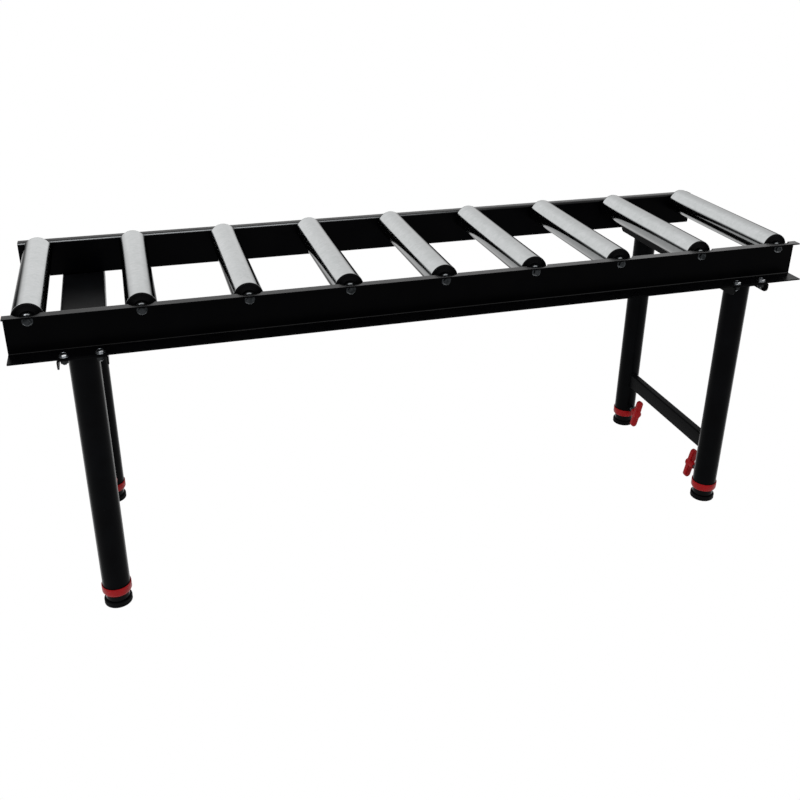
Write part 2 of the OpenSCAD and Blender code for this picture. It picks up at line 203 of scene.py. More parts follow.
def black_paint(name, dark, light, roughness, peel_mm, gloss, drawn=(1.0, 1.0, 1.0), rail=False):
    """Sprayed black finish: nearly black, a little greyer in patches, with a faint orange peel.

    The peel breaks up the reflections of the lamps, and drawn stretches it along a drawn tube.
    gloss is the coat's shine on a plain face and how much it gains on the turn of an edge.
    """
    material, tree, shader, place = new_finish(name)
    patches = add(tree, "ShaderNodeTexNoise", {"Vector": place, "Scale": 1 / (70 * MM), "Detail": 5.0,
                                               "Roughness": 0.6})
    tint = add(tree, "ShaderNodeValToRGB", {"Fac": patches.outputs["Fac"]},
               stops=((0.35, linear(dark)), (0.75, linear(light))))
    colour = tint.outputs["Color"]
    facing = add(tree, "ShaderNodeLayerWeight").outputs["Facing"]
    rim = add(tree, "ShaderNodeMapRange", {"Value": facing, "From Min": 0.6, "From Max": 0.95,
                                           "To Max": gloss[1]})
    fuller = rim.outputs["Result"]
    if rail:
        bright, painted_highlight = rail_shine_and_painted_highlight(tree, place)
        fuller = add(tree, "ShaderNodeMath", {0: bright, 1: fuller},
                     operation="MAXIMUM").outputs["Value"]
        # The painted highlight line lightens the coat's colour there
        colour = add(tree, "ShaderNodeMix", {"Factor": painted_highlight, "A": colour, "B": linear("#b4b7b9")},
                     data_type="RGBA").outputs["Result"]
    shine = add(tree, "ShaderNodeMath", {0: fuller, 1: gloss[0]}, operation="ADD")
    tree.links.new(shine.outputs["Value"], shader.inputs["Specular IOR Level"])
    stretch = add(tree, "ShaderNodeMapping", {"Vector": place, "Scale": drawn})
    peel = add(tree, "ShaderNodeTexNoise", {"Vector": stretch.outputs["Vector"],
                                            "Scale": 1 / (peel_mm * MM), "Detail": 2.0})
    lay_on(tree, shader, colour, patches.outputs["Fac"], roughness, peel.outputs["Fac"], 0.35, 0.03)
    return material


def painted_shop_shade(tree, place):
    """A painted shade after the photograph's dark shop: the whole of it, and the walls' share.

    Nothing is mirrored here. The lower half is darkened for a grey floor. The sides that turn away
    from the camera are darkened for dark walls, most of all at the front ends and on the left
    rollers, so this share slides as the camera moves, and the exported model loses it. The right
    rollers also darken softly towards their right side.
    """
    faces = add(tree, "ShaderNodeSeparateXYZ",
                {"Vector": add(tree, "ShaderNodeNewGeometry").outputs["Normal"]})
    spot = add(tree, "ShaderNodeSeparateXYZ", {"Vector": place})
    lower = add(tree, "ShaderNodeMapRange", {"Value": faces.outputs["Z"], "From Min": 0.24,
                                             "From Max": 0.38, "To Min": 0.34, "To Max": 1.0})
    beside = add(tree, "ShaderNodeMapRange", {"Value": spot.outputs["X"], "From Min": -0.6,
                                              "From Max": -0.4, "To Min": 0.045, "To Max": 0.0})
    turned_away = add(tree, "ShaderNodeMath", {0: add(tree, "ShaderNodeLayerWeight").outputs["Facing"],
                                               1: beside.outputs["Result"]}, operation="ADD")
    slant = add(tree, "ShaderNodeMath", {0: spot.outputs["Y"], 1: -0.2,
                                         2: turned_away.outputs["Value"]}, operation="MULTIPLY_ADD")
    walls = add(tree, "ShaderNodeValToRGB", {"Fac": slant.outputs["Value"]},
                stops=((0.45, grey(1)), (0.75, grey(0.96)), (0.8, grey(0.8)), (0.86, grey(0.22)),
                       (0.94, grey(0.1))))
    least = add(tree, "ShaderNodeMapRange", {"Value": spot.outputs["X"], "From Min": -0.8,
                                             "From Max": 0.8, "To Min": 1.0, "To Max": 0.32})
    right = add(tree, "ShaderNodeMapRange", {"Value": faces.outputs["X"], "From Min": -0.6,
                                             "From Max": 0.25, "To Min": 1.0,
                                             "To Max": least.outputs["Result"]})
    around_it = add(tree, "ShaderNodeMath", {0: lower.outputs["Result"], 1: walls.outputs["Color"]},
                    operation="MULTIPLY")
    room = add(tree, "ShaderNodeMath", {0: around_it.outputs["Value"], 1: right.outputs["Result"]},
               operation="MULTIPLY")
    return room.outputs["Value"], walls.outputs["Color"]


def galvanised_tube():
    """Electro-galvanised roller tube: pale grey zinc with soft clouds and small crystals.

    Boards that rolled over it left fine rings, and drawing the tube left faint lines along it.
    Both are drawn coarser than real ones, so that they show.
    """
    material, tree, shader, place = new_finish("galvanised_roller_tube", Metallic=1.0)
    clouds = add(tree, "ShaderNodeTexNoise", {"Vector": place, "Scale": 1 / (26 * MM), "Detail": 4.0})
    crystals = add(tree, "ShaderNodeTexVoronoi", {"Vector": place, "Scale": 1 / (7 * MM)})
    grains = add(tree, "ShaderNodeSeparateColor", {"Color": crystals.outputs["Color"]})
    mottle = add(tree, "ShaderNodeMix", {"Factor": 0.35, "A": clouds.outputs["Fac"],
                                         "B": grains.outputs["Red"]}, data_type="FLOAT")
    tint = add(tree, "ShaderNodeValToRGB", {"Fac": mottle.outputs["Result"]},
               stops=((0.25, linear("#bfc2c2")), (0.8, linear("#cccecf"))))
    # Painted shade and painted reflection: darker lower half, turned-away sides and right rollers, and a
    # dark tint in the gloss
    room, walls = painted_shop_shade(tree, place)
    shaded = add(tree, "ShaderNodeMix", {"Factor": room, "A": grey(0), "B": tint.outputs["Color"]},
                 data_type="RGBA")
    tree.links.new(walls, shader.inputs["Specular Tint"])
    along = add(tree, "ShaderNodeMapping", {"Vector": place, "Scale": (1.0, 0.015, 1.0)})
    lines = add(tree, "ShaderNodeTexNoise", {"Vector": along.outputs["Vector"],
                                             "Scale": 1 / (0.9 * MM), "Detail": 3.0})
    around = add(tree, "ShaderNodeMapping", {"Vector": place, "Scale": (0.02, 1.0, 0.02)})
    rings = add(tree, "ShaderNodeTexNoise", {"Vector": around.outputs["Vector"],
                                             "Scale": 1 / (2.2 * MM), "Detail": 3.0})
    wear = add(tree, "ShaderNodeMix", {"Factor": 0.15, "A": lines.outputs["Fac"],
                                       "B": rings.outputs["Fac"]}, data_type="FLOAT")
    lay_on(tree, shader, shaded.outputs["Result"], wear.outputs["Result"], (0.12, 0.145),
           wear.outputs["Result"], 0.02, 0.01, (0.35, 0.65))
    return material


def bare_steel(name, dark, light, roughness, lines_mm, stretch=(1.0, 1.0, 1.0), glint=None):
    """Machined or plated steel: bright, with a slight change of tone and fine tool marks.

    glint is the painted colour of faces turned a given way, that way, and how closely they have to
    match it to begin and to end. The marks are drawn coarser than real ones, so that they show.
    """
    material, tree, shader, place = new_finish(name, Metallic=1.0)
    tone = add(tree, "ShaderNodeTexNoise", {"Vector": place, "Scale": 1 / (9 * MM), "Detail": 3.0})
    tint = add(tree, "ShaderNodeValToRGB", {"Fac": tone.outputs["Fac"]},
               stops=((0.3, linear(dark)), (0.7, linear(light))))
    colour = tint.outputs["Color"]
    if glint:
        bright, way, least, most = glint
        normal = add(tree, "ShaderNodeNewGeometry").outputs["Normal"]
        match = add(tree, "ShaderNodeVectorMath", {0: normal, 1: way}, operation="DOT_PRODUCT")
        share = add(tree, "ShaderNodeMapRange", {"Value": match.outputs["Value"], "From Min": least,
                                                 "From Max": most})
        colour = add(tree, "ShaderNodeMix", {"Factor": share.outputs["Result"], "A": colour,
                                             "B": linear(bright)}, data_type="RGBA").outputs["Result"]
    turned_marks = add(tree, "ShaderNodeMapping", {"Vector": place, "Scale": stretch})
    marks = add(tree, "ShaderNodeTexNoise", {"Vector": turned_marks.outputs["Vector"],
                                             "Scale": 1 / (lines_mm * MM), "Detail": 2.0})
    lay_on(tree, shader, colour, marks.outputs["Fac"], roughness, marks.outputs["Fac"], 0.25, 0.01)
    return material


def moulded_plastic(name, dark, light, roughness, grain_mm, depth_mm, specular):
    """Injection-moulded plastic: an even colour with slight flow clouds over the mould's fine grain."""
    material, tree, shader, place = new_finish(name, Specular_IOR_Level=specular)
    flow = add(tree, "ShaderNodeTexNoise", {"Vector": place, "Scale": 1 / (14 * MM), "Detail": 3.0,
                                            "Distortion": 0.6})
    tint = add(tree, "ShaderNodeValToRGB", {"Fac": flow.outputs["Fac"]},
               stops=((0.3, linear(dark)), (0.75, linear(light))))
    grain = add(tree, "ShaderNodeTexVoronoi", {"Vector": place, "Scale": 1 / (grain_mm * MM)})
    lay_on(tree, shader, tint.outputs["Color"], flow.outputs["Fac"], roughness,
           grain.outputs["Distance"], 0.3, depth_mm)
    return material


# Powder coat, baked on: an even satin black that shines only along the bends
rail_paint = black_paint("satin_black_powder_coat", "#020203", "#050506", (0.24, 0.34), 1.6,
                         (0.015, 0.1), rail=True)
# Enamel, sprayed on the welded leg frames: a touch greyer and softer than the rails
leg_paint = black_paint("satin_black_enamel", "#050506", "#090a0c", (0.28, 0.38), 1.4, (0.02, 0.22),
                        (1.0, 1.0, 0.25))
# Enamel on the inner tubes, kept smooth by the collars: a deeper black with sharper reflections
inner_paint = black_paint("gloss_black_enamel", "#030304", "#060607", (0.14, 0.24), 0.9, (0.05, 0.4),
                          (1.0, 1.0, 0.04))
roller_zinc = galvanised_tube()
# ABS from a finely etched mould: a full red with a soft, low sheen
red_plastic = moulded_plastic("red_moulded_abs", "#95090f", "#a80e14", (0.34, 0.46), 0.5, 0.02, 0.15)
# Moulded nylon: dull and nearly black, so that the rollers' ends read as dark discs
cap_plastic = moulded_plastic("black_moulded_nylon", "#030304", "#080809", (0.4, 0.55), 0.6, 0.03,
                              0.05)
# Moulded polyethylene: black and waxy, with hardly any reflection
foot_plastic = moulded_plastic("black_moulded_polyethylene", "#040405", "#080809", (0.38, 0.55), 0.7,
                               0.04, 0.03)
# Pressed sheet steel: dark, with a crescent painted on its slope for the light above
shield_steel = bare_steel("pressed_bearing_shield_steel", "#141516", "#1e1f20", (0.16, 0.26), 0.5,
                          glint=("#8c8f91", (0.0, 0.0, 1.0), 0.375, 0.41))
# Ground bearing steel: dark and sleek
race_steel = bare_steel("dark_ground_bearing_race_steel", "#131415", "#1d1e1f", (0.2, 0.32), 0.5)
# Cold-drawn bar: mid grey, with lines along its length
axle_steel = bare_steel("cold_drawn_axle_steel", "#5b5d5f", "#707274", (0.28, 0.42), 0.5,
                        (1.0, 0.03, 1.0))
# Bright zinc plate: grey, with painted highlights, nearly white, on the facets towards the front
bolt_zinc = bare_steel("bright_zinc_plated_bolt", "#6a6e72", "#888b8e", (0.2, 0.34), 0.6,
                       glint=("#f2f4f6", (-0.15, -0.98, 0.1), 0.86, 0.97))
# Zinc plate on the clamps' studs, painted dark for the shade between knob and leg
stud_zinc = bare_steel("zinc_plated_clamp_stud", "#2a2c2e", "#3a3c3e", (0.25, 0.4), 0.6)
# Zinc plate, painted dark for a dark reflection, with painted grey highlights where facets look down
shade_darkened_zinc = bare_steel("shade_darkened_zinc_plated_bolt", "#191b1c", "#2f3133", (0.28, 0.42), 0.6,
                       glint=("#8b8f92", (0.0, 0.0, -1.0), 0.12, 0.5))
# Zinc plate under the leg heads, painted dark for the shade under them
nut_zinc = bare_steel("shade_darkened_zinc_plated_nut", "#1a1b1c", "#2a2c2d", (0.3, 0.45), 0.6)


def circle(radius, height, steps):
    """Points of a ring about the local Z axis."""
    turns = [2 * math.pi * k / steps for k in range(steps)]
    return [(radius * math.cos(t), radius * math.sin(t), height) for t in turns]


def hexagon(flats, steps):
    """Points round a hexagon of that width across its flats: distance from the axis, x and y."""
    wedge = math.pi / 3
    points = []
    for k, (x, y, _) in enumerate(circle(1, 0, steps)):
        r = flats / 2 / math.cos(2 * math.pi * k / steps % wedge - wedge / 2)
        points.append((r, r * x, r * y))
    return points


def skin(bm, rings, place=Matrix(), joined=False):
    """Covers a row of closed rings, and joins the last to the first or closes both ends."""
    rows = []
    for ring in rings:
        points = ring[:1] if max((Vector(p) - Vector(ring[0])).length for p in ring) < 1e-6 else ring
        rows.append([bm.verts.new((place @ Vector(p)) * MM) for p in points])
    for low, high in zip(rows, rows[1:] + (rows[:1] if joined else [])):
        steps = max(len(low), len(high))
        for k in range(steps):
            near, far = k, (k + 1) % steps
            corners = [low[near % len(low)], low[far % len(low)],
                       high[far % len(high)], high[near % len(high)]]
            bm.faces.new(list(dict.fromkeys(corners)))
    for end in ([] if joined else (rows[0], rows[-1])):
        if len(end) > 2:
            bm.faces.new(end)


def turned(outline, steps, place=Matrix(), joined=True, bm=None):
    """Turns an outline of (radius, height) pairs about the local Z axis."""
    bm = bm or bmesh.new()
    skin(bm, [circle(r, z, steps) for r, z in outline], place, joined)
    return bm


def outward(side):
    """Turns the local Z axis to +Y or -Y."""
    return Matrix.Rotation(math.radians(-90 * side), 4, "X")


def at(x, y, z, turn=Matrix()):
    """A place in millimetres with its turn."""
    return Matrix.Translation((x, y, z)) @ turn


def as_mesh(name, bm, finish):
    """Closes the mesh, turns its faces outwards and shades it smooth between its hard edges."""
    bmesh.ops.remove_doubles(bm, verts=bm.verts, dist=1e-7)
    bmesh.ops.recalc_face_normals(bm, faces=bm.faces)
    mesh = bpy.data.meshes.new(name)
    bm.to_mesh(mesh)
    bm.free()
    mesh.materials.append(finish)
    mesh.shade_smooth()
    mesh.set_sharp_from_angle(angle=math.radians(32))
    return mesh


def piece(name, mesh, body, stands_for=(), edge=0):
    """Puts a finished mesh on its body; edge is the width in millimetres of its broken edges."""
    made = bpy.data.objects.new(name, mesh)
    bpy.context.scene.collection.objects.link(made)
    if edge:
        bevel = made.modifiers.new("broken_edges", "BEVEL")
        bevel.width, bevel.segments = edge * MM, 2
        bevel.limit_method, bevel.angle_limit = "ANGLE", math.radians(38)
        bevel.harden_normals = True
    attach(made, body)
    if stands_for:
        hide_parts(*stands_for)
    return made


def solid(name, bm, finish, body, node, edge=0):
    """A piece from a mesh in the making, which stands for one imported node."""
    piece(name, as_mesh(name, bm, finish), body, [node], edge)


def threaded(bm, place, low, high, radius, pitch):
    """Adds a rod with a helical thread between two heights, with a bevelled tip at the low end."""
    steps, rows_per_turn = 28, 6
    depth = 0.55 * pitch
    tip_r = radius - 1.2 * depth
    count = round((high - low) / pitch * rows_per_turn)
    rings = [circle(tip_r, low, steps)]
    for k in range(count + 1):
        z = low + 0.4 * depth + (high - low - 0.4 * depth) * k / count
        ring = []
        for x, y, _ in circle(1, 0, steps):
            phase = (z / pitch - math.atan2(y, x) / (2 * math.pi)) % 1
            r = min(radius - depth * abs(2 * phase - 1), tip_r + (z - low))
            ring.append((r * x, r * y, z))
        rings.append(ring)
    rings.append(circle(radius - depth, high, steps))
    skin(bm, rings, place)


# Geometry Nodes: fasteners in their places, and weld beads along their seams

def new_tree(name, result, **inputs):
    """An empty tree with its named inputs and its one result."""
    tree = bpy.data.node_groups.new(name, "GeometryNodeTree")
    for label, kind in inputs.items():
        tree.interface.new_socket(label.replace("_", " "), in_out="INPUT",
                                  socket_type=f"NodeSocket{kind}")
    tree.interface.new_socket(result, in_out="OUTPUT", socket_type="NodeSocketGeometry")
    return tree, add(tree, "NodeGroupInput").outputs


def close_tree(tree, result, instances, finish):
    """Makes the instances plain mesh, gives them their finish and ends the tree."""
    real = add(tree, "GeometryNodeRealizeInstances", {"Geometry": instances})
    painted = add(tree, "GeometryNodeSetMaterial", {"Geometry": real.outputs["Geometry"],
                                                    "Material": finish})
    add(tree, "NodeGroupOutput", {result: painted.outputs["Geometry"]})
    return tree


def fastener_tree():
    """Sets a fastener on every point, turned as the point's "turn" says and tightened by chance."""
    tree, given = new_tree("fasteners_in_place", "Fasteners", Places="Geometry", Fastener="Object",
                           Finish="Material", Tightened_By="Float", Seed="Int")
    points = add(tree, "GeometryNodeMeshToPoints", {"Mesh": given["Places"]})
    source = add(tree, "GeometryNodeObjectInfo", {"Object": given["Fastener"], "As Instance": True})
    turn = add(tree, "GeometryNodeInputNamedAttribute", {"Name": "turn"}, data_type="FLOAT_VECTOR")
    aimed = add(tree, "FunctionNodeEulerToRotation", {"Euler": turn.outputs["Attribute"]})
    chance = add(tree, "FunctionNodeRandomValue", {"Max": given["Tightened By"],
                                                   "Seed": given["Seed"]}, data_type="FLOAT")
    about = add(tree, "ShaderNodeCombineXYZ", {"Z": chance.outputs[1]})
    spin = add(tree, "FunctionNodeEulerToRotation", {"Euler": about.outputs["Vector"]})
    both = add(tree, "FunctionNodeRotateRotation", {"Rotation": aimed.outputs["Rotation"],
                                                    "Rotate By": spin.outputs["Rotation"]},
               rotation_space="LOCAL")
    set_out = add(tree, "GeometryNodeInstanceOnPoints", {"Points": points.outputs["Points"],
                                                         "Instance": source.outputs["Geometry"],
                                                         "Rotation": both.outputs["Rotation"]})
    return close_tree(tree, "Fasteners", set_out.outputs["Instances"], given["Finish"])


def weld_tree():
    """Lays overlapping drops of weld along a closed path, as a welder's bead cools in ripples."""
    tree, given = new_tree("weld_bead", "Bead", Seam="Geometry", Bead_Radius="Float",
                           Ripple_Spacing="Float", Finish="Material", Seed="Int")
    seam = add(tree, "GeometryNodeMeshToCurve", {"Mesh": given["Seam"]})
    steps = add(tree, "GeometryNodeCurveToPoints", {"Curve": seam.outputs["Curve"],
                                                    "Length": given["Ripple Spacing"]}, mode="LENGTH")
    drop = add(tree, "GeometryNodeMeshUVSphere", {"Segments": 8, "Rings": 6,
                                                  "Radius": given["Bead Radius"]})
    rounded = add(tree, "GeometryNodeSetShadeSmooth", {"Geometry": drop.outputs["Mesh"]})
    uneven = add(tree, "FunctionNodeRandomValue", {"Min": (0.85, 0.85, 0.65), "Max": (1.1, 1.1, 0.85),
                                                   "Seed": given["Seed"]}, data_type="FLOAT_VECTOR")
    laid = add(tree, "GeometryNodeInstanceOnPoints", {"Points": steps.outputs["Points"],
                                                      "Instance": rounded.outputs["Geometry"],
                                                      "Rotation": steps.outputs["Rotation"],
                                                      "Scale": uneven.outputs["Value"]})
    return close_tree(tree, "Bead", laid.outputs["Instances"], given["Finish"])


def grown(name, mesh, tree, inputs):
    """Runs a tree on a mesh of places or seams and gives the result as a plain mesh."""
    host = bpy.data.objects.new(name, mesh)
    bpy.context.scene.collection.objects.link(host)
    modifier = host.modifiers.new("grown", "NODES")
    modifier.node_group = tree
    for socket in tree.interface.items_tree:
        if socket.in_out == "INPUT" and socket.name in inputs:
            modifier[socket.identifier] = inputs[socket.name]
    evaluated = host.evaluated_get(bpy.context.evaluated_depsgraph_get())
    result = bpy.data.meshes.new_from_object(evaluated)
    bpy.data.objects.remove(host)
    result.name = name
    return result


def fasteners(name, shape, places, finish, node, tightened=0.0, seed=1):
    """One fixed piece that holds a fastener at each place; a place is a point and an Euler turn."""
    pattern = bpy.data.objects.new(f"{name}_pattern", as_mesh(f"{name}_pattern", shape, finish))
    points = bpy.data.meshes.new(f"{name}_places")
    points.from_pydata([[c * MM for c in spot] for spot, _ in places], [], [])
    turns = points.attributes.new("turn", "FLOAT_VECTOR", "POINT")
    turns.data.foreach_set("vector", [c for _, turn in places for c in turn])
    mesh = grown(name, points, FASTENERS, {"Fastener": pattern, "Finish": finish,
                                           "Tightened By": tightened, "Seed": seed})
    bpy.data.objects.remove(pattern)
    piece(name, mesh, "frame", [node])


FASTENERS = fastener_tree()
WELDS = weld_tree()
UPRIGHT = (0.0, 0.0, 0.0)
TO_REAR = (math.radians(-90), 0.0, 0.0)
TURN_TO = {-1: (math.radians(90), 0.0, 0.0), 1: TO_REAR}


# Bent sheet and box section

def softened(node):
    """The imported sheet-metal part with its flat faces joined, ready to have its edges broken."""
    bm = bmesh.new()
    bm.from_mesh(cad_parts[node].data)
    bmesh.ops.remove_doubles(bm, verts=bm.verts, dist=1e-6)
    bmesh.ops.dissolve_limit(bm, angle_limit=math.radians(0.5), verts=bm.verts, edges=bm.edges)
    return bm


for sheet, paint in (("front_rail", rail_paint), ("rear_rail", rail_paint),
                     ("left_leg_head", leg_paint), ("right_leg_head", leg_paint)):
    solid(f"{sheet}_sheet", softened(sheet), paint, "frame", sheet, SHEET_EDGE)


def box_outline(inset=0.0):
    """Rounded outline of the stretcher's section, (x, z) points, at that depth in its wall."""
    steps = 6
    corner = STRETCHER_CORNER - inset
    right, top, low = STRETCHER_HALF - inset, STRETCHER_HIGH - inset, STRETCHER_LOW + inset
    points = []
    for cx, cz, start in ((right - corner, top - corner, 0), (corner - right, top - corner, 90),
                          (corner - right, low + corner, 180), (right - corner, low + corner, 270)):
        for k in range(steps + 1):
            t = math.radians(start + 90 * k / steps)
            points.append((cx + corner * math.cos(t), cz + corner * math.sin(t)))
    return points


def leg_depth(x):
    """How far the round leg reaches towards its front or rear, x from its axis."""
    return math.sqrt(LEG_R ** 2 - x ** 2)


def saddle(x):
    """How far from the table's middle the round leg begins, x from the leg's axis."""
    return LEG_Y - leg_depth(x)


for end, leg_x in ENDS:
    outside, inside = box_outline(), box_outline(STRETCHER_WALL)
    bm = bmesh.new()
    skin(bm, [[(leg_x + x, side * saddle(x), z) for x, z in outline]
              for outline, side in ((outside, -1), (outside, 1), (inside, 1), (inside, -1))],
         joined=True)
    solid(f"{end}_box_stretcher", bm, leg_paint, "frame", f"{end}_stretcher")


# Rollers: tube, end caps and bearings turn together. The tube's outline gives the depth from its
# end; the ring after the rounded edge keeps the shading of the long side straight

TUBE_RIM = [(28.3, 0.0), (29.75, 0.0), (29.93, 0.08), (ROLLER_R, 0.3), (ROLLER_R, 0.6)]
TUBE_OUTLINE = ([(r, depth - TUBE_END) for r, depth in TUBE_RIM]
                + [(r, TUBE_END - depth) for r, depth in reversed(TUBE_RIM)]
                + [(ROLLER_BORE_R, TUBE_END - 0.3), (ROLLER_BORE_R, 0.3 - TUBE_END)])
CAP_OUTLINE = [(10.3, 194.5), (17.05, 194.5), (17.05, TUBE_END), (24.95, TUBE_END), (24.95, 185.0),
               (27.6, 185.0), (27.95, 185.6), (27.95, TUBE_END), (29.6, TUBE_END), (29.6, 202.1),
               (29.35, 202.7), (28.8, CAP_FACE), (25.6, CAP_FACE), (25.2, 202.8), (24.95, 202.3),
               (24.5, 202.2), (17.5, 202.2), (17.1, 202.35), (16.9, 202.8), (16.5, CAP_FACE),
               (14.6, CAP_FACE), (14.2, 202.85), (14.05, 202.5), (14.05, BEARING_IN),
               (10.3, BEARING_IN)]
OUTER_RACE_OUTLINE = [(13.5, BEARING_IN), (14.0, 198.0), (14.0, 208.9), (13.85, 209.3),
                      (13.5, BEARING_OUT), (12.7, BEARING_OUT), (12.45, 209.3), (12.4, 208.3),
                      (12.4, 198.7), (12.4, BEARING_IN)]
SHIELD_OUTLINE = [(12.38, 207.85), (9.8, 209.06), (9.5, 209.2), (9.0, 209.2), (8.86, 209.0),
                  (8.86, 198.0), (9.0, 197.8), (9.5, 197.8), (12.38, 199.15)]
AT_BOTH_ENDS = (("end_caps", CAP_OUTLINE, 96, cap_plastic, "cap_plastic", "roller_caps"),
                ("outer_races", OUTER_RACE_OUTLINE, 72, race_steel, "bearing_steel",
                 "roller_bearings"),
                ("bearing_shields", SHIELD_OUTLINE, 72, shield_steel, "bearing_steel",
                 "roller_bearings"))
for i, roller_x in zip(ROLLERS, ROLLER_X):
    solid(f"roller_{i}_zinc_tube", turned(TUBE_OUTLINE, 128, at(roller_x, 0, AXLE_Z, outward(1))),
          roller_zinc, f"roller_{i}", f"roller_tube_{i}")
    for part, outline, steps, finish, slot, node in AT_BOTH_ENDS:
        bm = bmesh.new()
        for side in SIDES:
            turned(outline, steps, at(roller_x, 0, AXLE_Z, outward(side)), bm=bm)
        solid(f"roller_{i}_{part}", bm, finish, f"roller_{i}", f"{node}_{i}")

roller_ends = [(x, side) for side in SIDES for x in ROLLER_X]
inner_ring = turned([(6.35, BEARING_IN), (8.5, BEARING_IN), (8.8, 197.8), (8.8, 209.2),
                     (8.5, BEARING_OUT), (6.35, BEARING_OUT), (6.05, 209.2), (6.05, 197.8)], 48)
fasteners("inner_bearing_races", inner_ring,
          [((x, 0.0, AXLE_Z), TURN_TO[side]) for x, side in roller_ends],
          race_steel, "bearing_inner_rings")
axle = turned([(0, -WEB_IN), (5.4, -WEB_IN), (AXLE_R, 0.6 - WEB_IN), (AXLE_R, WEB_IN - 0.6),
               (5.4, WEB_IN), (0, WEB_IN)], 48, joined=False)
fasteners("drawn_steel_axles", axle, [((x, 0.0, AXLE_Z), TO_REAR) for x in ROLLER_X],
          axle_steel, "roller_axles")


# Fasteners

def chamfered(side, height, face_r, slope):
    """Ring round a hexagon's side, at a height that changes with the distance from the axis."""
    return [(x, y, height + slope * (r - face_r)) for r, x, y in side]


def flange_head(seat, flange_t, top):
    """Rings of a hex head with its flange about +Z, from the shank at its seat to the dished top."""
    brim = seat + flange_t
    side = hexagon(HEX_FLATS, HEAD_STEPS)
    flange = ((4.0, seat), (9.6, seat), (9.95, seat + 0.25), (9.95, brim - 1.0), (9.6, brim - 0.75),
              (7.75, brim - 0.05))
    dish = ((HEX_FACE_R, top), (5.0, top), (4.6, top - 0.35), (0, top - 0.35))
    return ([circle(r, z, HEAD_STEPS) for r, z in flange]
            + [chamfered(side, brim + 0.2, HEX_FLATS / 2, -0.2),
               chamfered(side, top, HEX_FACE_R, -HEX_CHAMFER)]
            + [circle(r, z, HEAD_STEPS) for r, z in dish])


def axle_bolt():
    """M8 hex flange bolt along +Z: its flange's underside is at 0 and its shank goes down."""
    bm = bmesh.new()
    skin(bm, [circle(3.4, -16, HEAD_STEPS), circle(4.0, -15.2, HEAD_STEPS)] + flange_head(0, 1.8, 7.3))
    return bm


def leg_bolt():
    """Low M8 hex flange bolt along +Z: its head sits on the rail's bottom lip, its thread goes down."""
    bm = bmesh.new()
    skin(bm, [circle(3.9, LEG_TOP_Z, HEAD_STEPS)] + flange_head(RAIL_FLOOR_TOP, 1.4, 605.3))
    threaded(bm, Matrix(), BOLT_TIP, LEG_TOP_Z + 0.2, 3.95, 1.25)
    return bm


def hex_nut():
    """Hex nut along +Z at its height under a washer, with both faces chamfered."""
    side = hexagon(HEX_FLATS, HEAD_STEPS)
    bm = bmesh.new()
    skin(bm, [circle(4.05, NUT_LOW + 0.8, HEAD_STEPS), circle(4.7, NUT_LOW, HEAD_STEPS),
              circle(HEX_FACE_R, NUT_LOW, HEAD_STEPS),
              chamfered(side, NUT_LOW, HEX_FACE_R, HEX_CHAMFER),
              chamfered(side, WASHER_LOW, HEX_FACE_R, -HEX_CHAMFER),
              circle(HEX_FACE_R, WASHER_LOW, HEAD_STEPS), circle(4.7, WASHER_LOW, HEAD_STEPS),
              circle(4.05, WASHER_LOW - 0.8, HEAD_STEPS)], joined=True)
    return bm


def weld_nut():
    """Hex nut welded on the leg, its base cut to the tube; local Z points away from the leg."""
    bore, face_r = 5.05, 8.1
    side = hexagon(17.0, HEAD_STEPS)
    bm = bmesh.new()
    skin(bm, [[(x, y, leg_depth(x)) for x, y, _ in circle(bore, 0, HEAD_STEPS)],
              [(x, y, leg_depth(x)) for _, x, y in side],
              chamfered(side, NUT_FACE, face_r, -HEX_CHAMFER),
              circle(face_r, NUT_FACE, HEAD_STEPS), circle(bore + 0.7, NUT_FACE, HEAD_STEPS),
              circle(bore, NUT_FACE - 0.7, HEAD_STEPS)], joined=True)
    return bm


washer = turned([(4.25, WASHER_LOW), (8.2, WASHER_LOW), (8.5, WASHER_LOW + 0.3),
                 (8.5, LEG_TOP_Z - 0.3), (8.2, LEG_TOP_Z), (4.25, LEG_TOP_Z)], 48)
bolt_spots = [((x, side * WEB_OUT, AXLE_Z), TURN_TO[side]) for x, side in roller_ends]
lip_spots = [((x + k * LEG_BOLT_X, side * LEG_BOLT_Y, 0.0), UPRIGHT)
             for _, x in ENDS for side in SIDES for k in (-1, 1)]
nut_spots = [((x, y, STUD_Z), TURN_TO[-side]) for _, x, y, side in LEGS]
fasteners("flanged_axle_bolts", axle_bolt(), bolt_spots, shade_darkened_zinc, "axle_bolts", 1.0, 3)
fasteners("flanged_leg_bolts", leg_bolt(), lip_spots, bolt_zinc, "leg_bolts", 0.3, 5)
fasteners("plain_leg_washers", washer, lip_spots, nut_zinc, "leg_washers")
fasteners("hex_leg_nuts", hex_nut(), lip_spots, nut_zinc, "leg_nuts", 1.0, 7)
fasteners("clamp_weld_nuts", weld_nut(), nut_spots, leg_paint, "weld_nuts")


# Weld beads, under the same paint as the legs

def seam_mesh(loops):
    """Closed paths, one for each seam, in one mesh of edges."""
    points, edges = [], []
    for loop in loops:
        first = len(points)
        points += [[c * MM for c in p] for p in loop]
        edges += [(first + k, first + (k + 1) % len(loop)) for k in range(len(loop))]
    mesh = bpy.data.meshes.new("seams")
    mesh.from_pydata(points, edges, [])
    return mesh


